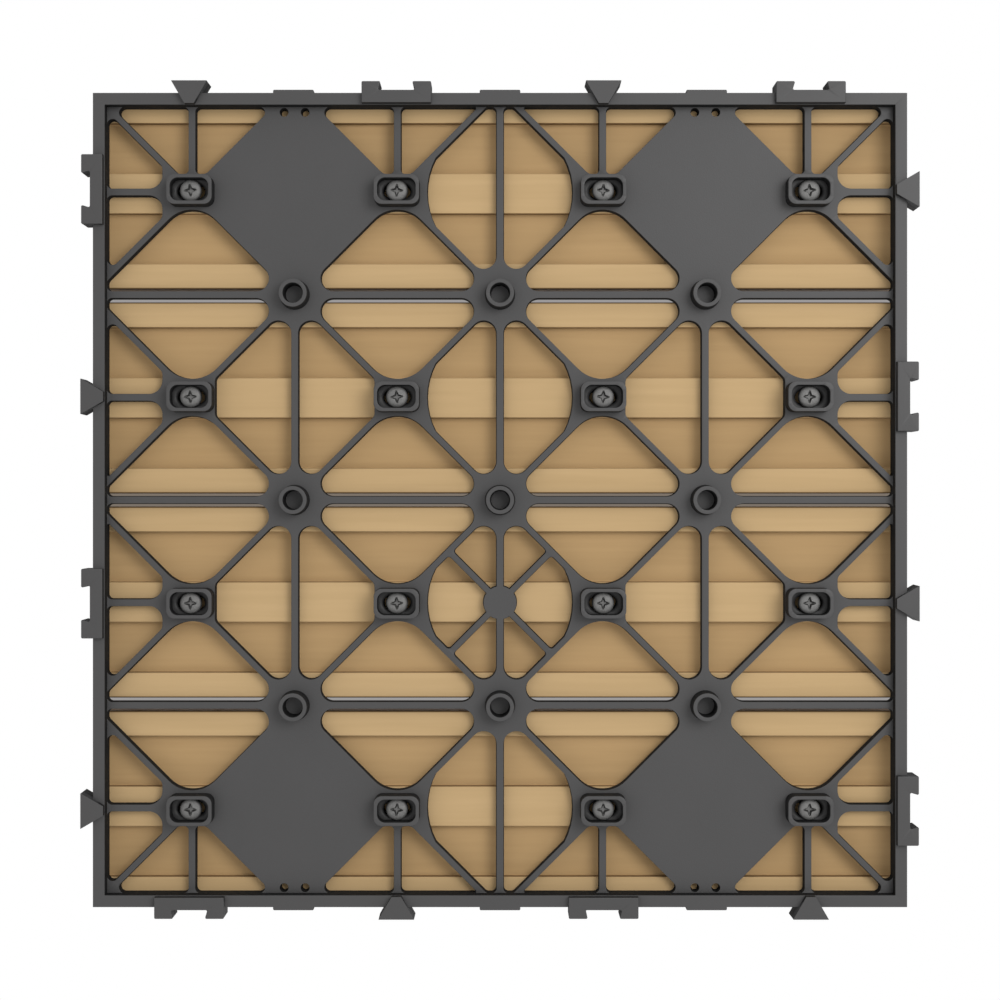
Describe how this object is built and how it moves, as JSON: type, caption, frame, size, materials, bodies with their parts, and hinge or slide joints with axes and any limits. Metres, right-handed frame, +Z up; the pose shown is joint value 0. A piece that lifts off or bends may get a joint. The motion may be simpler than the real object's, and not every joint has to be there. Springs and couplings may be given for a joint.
{
  "type": "interlocking deck tile",
  "caption": "Square deck tile: grooved composite slats screwed to a moulded lattice base on feet, with dovetail clips and sockets round its rim.",
  "frame": {"origin": "middle of the tile on the ground, under its middle foot", "axes": "+Z up, out of the walking face; X along the slats; Y across the slats"},
  "size_m": [0.3084, 0.3084, 0.0254],
  "materials": {
    "base_plastic": "matt moulded polypropylene",
    "slat_composite": "matt wood-plastic composite with fine grain",
    "screw_steel": "zinc plated"
  },
  "bodies": {
    "root": {"moulded_base": "base_plastic", "slat_1": "slat_composite", "slat_2": "slat_composite", "slat_3": "slat_composite", "slat_4": "slat_composite", "screw_1_1": "screw_steel", "screw_1_2": "screw_steel", "screw_1_3": "screw_steel", "screw_1_4": "screw_steel", "screw_2_1": "screw_steel", "screw_2_2": "screw_steel", "screw_2_3": "screw_steel", "screw_2_4": "screw_steel", "screw_3_1": "screw_steel", "screw_3_2": "screw_steel", "screw_3_3": "screw_steel", "screw_3_4": "screw_steel", "screw_4_1": "screw_steel", "screw_4_2": "screw_steel", "screw_4_3": "screw_steel", "screw_4_4": "screw_steel"}
  },
  "joints": []
}
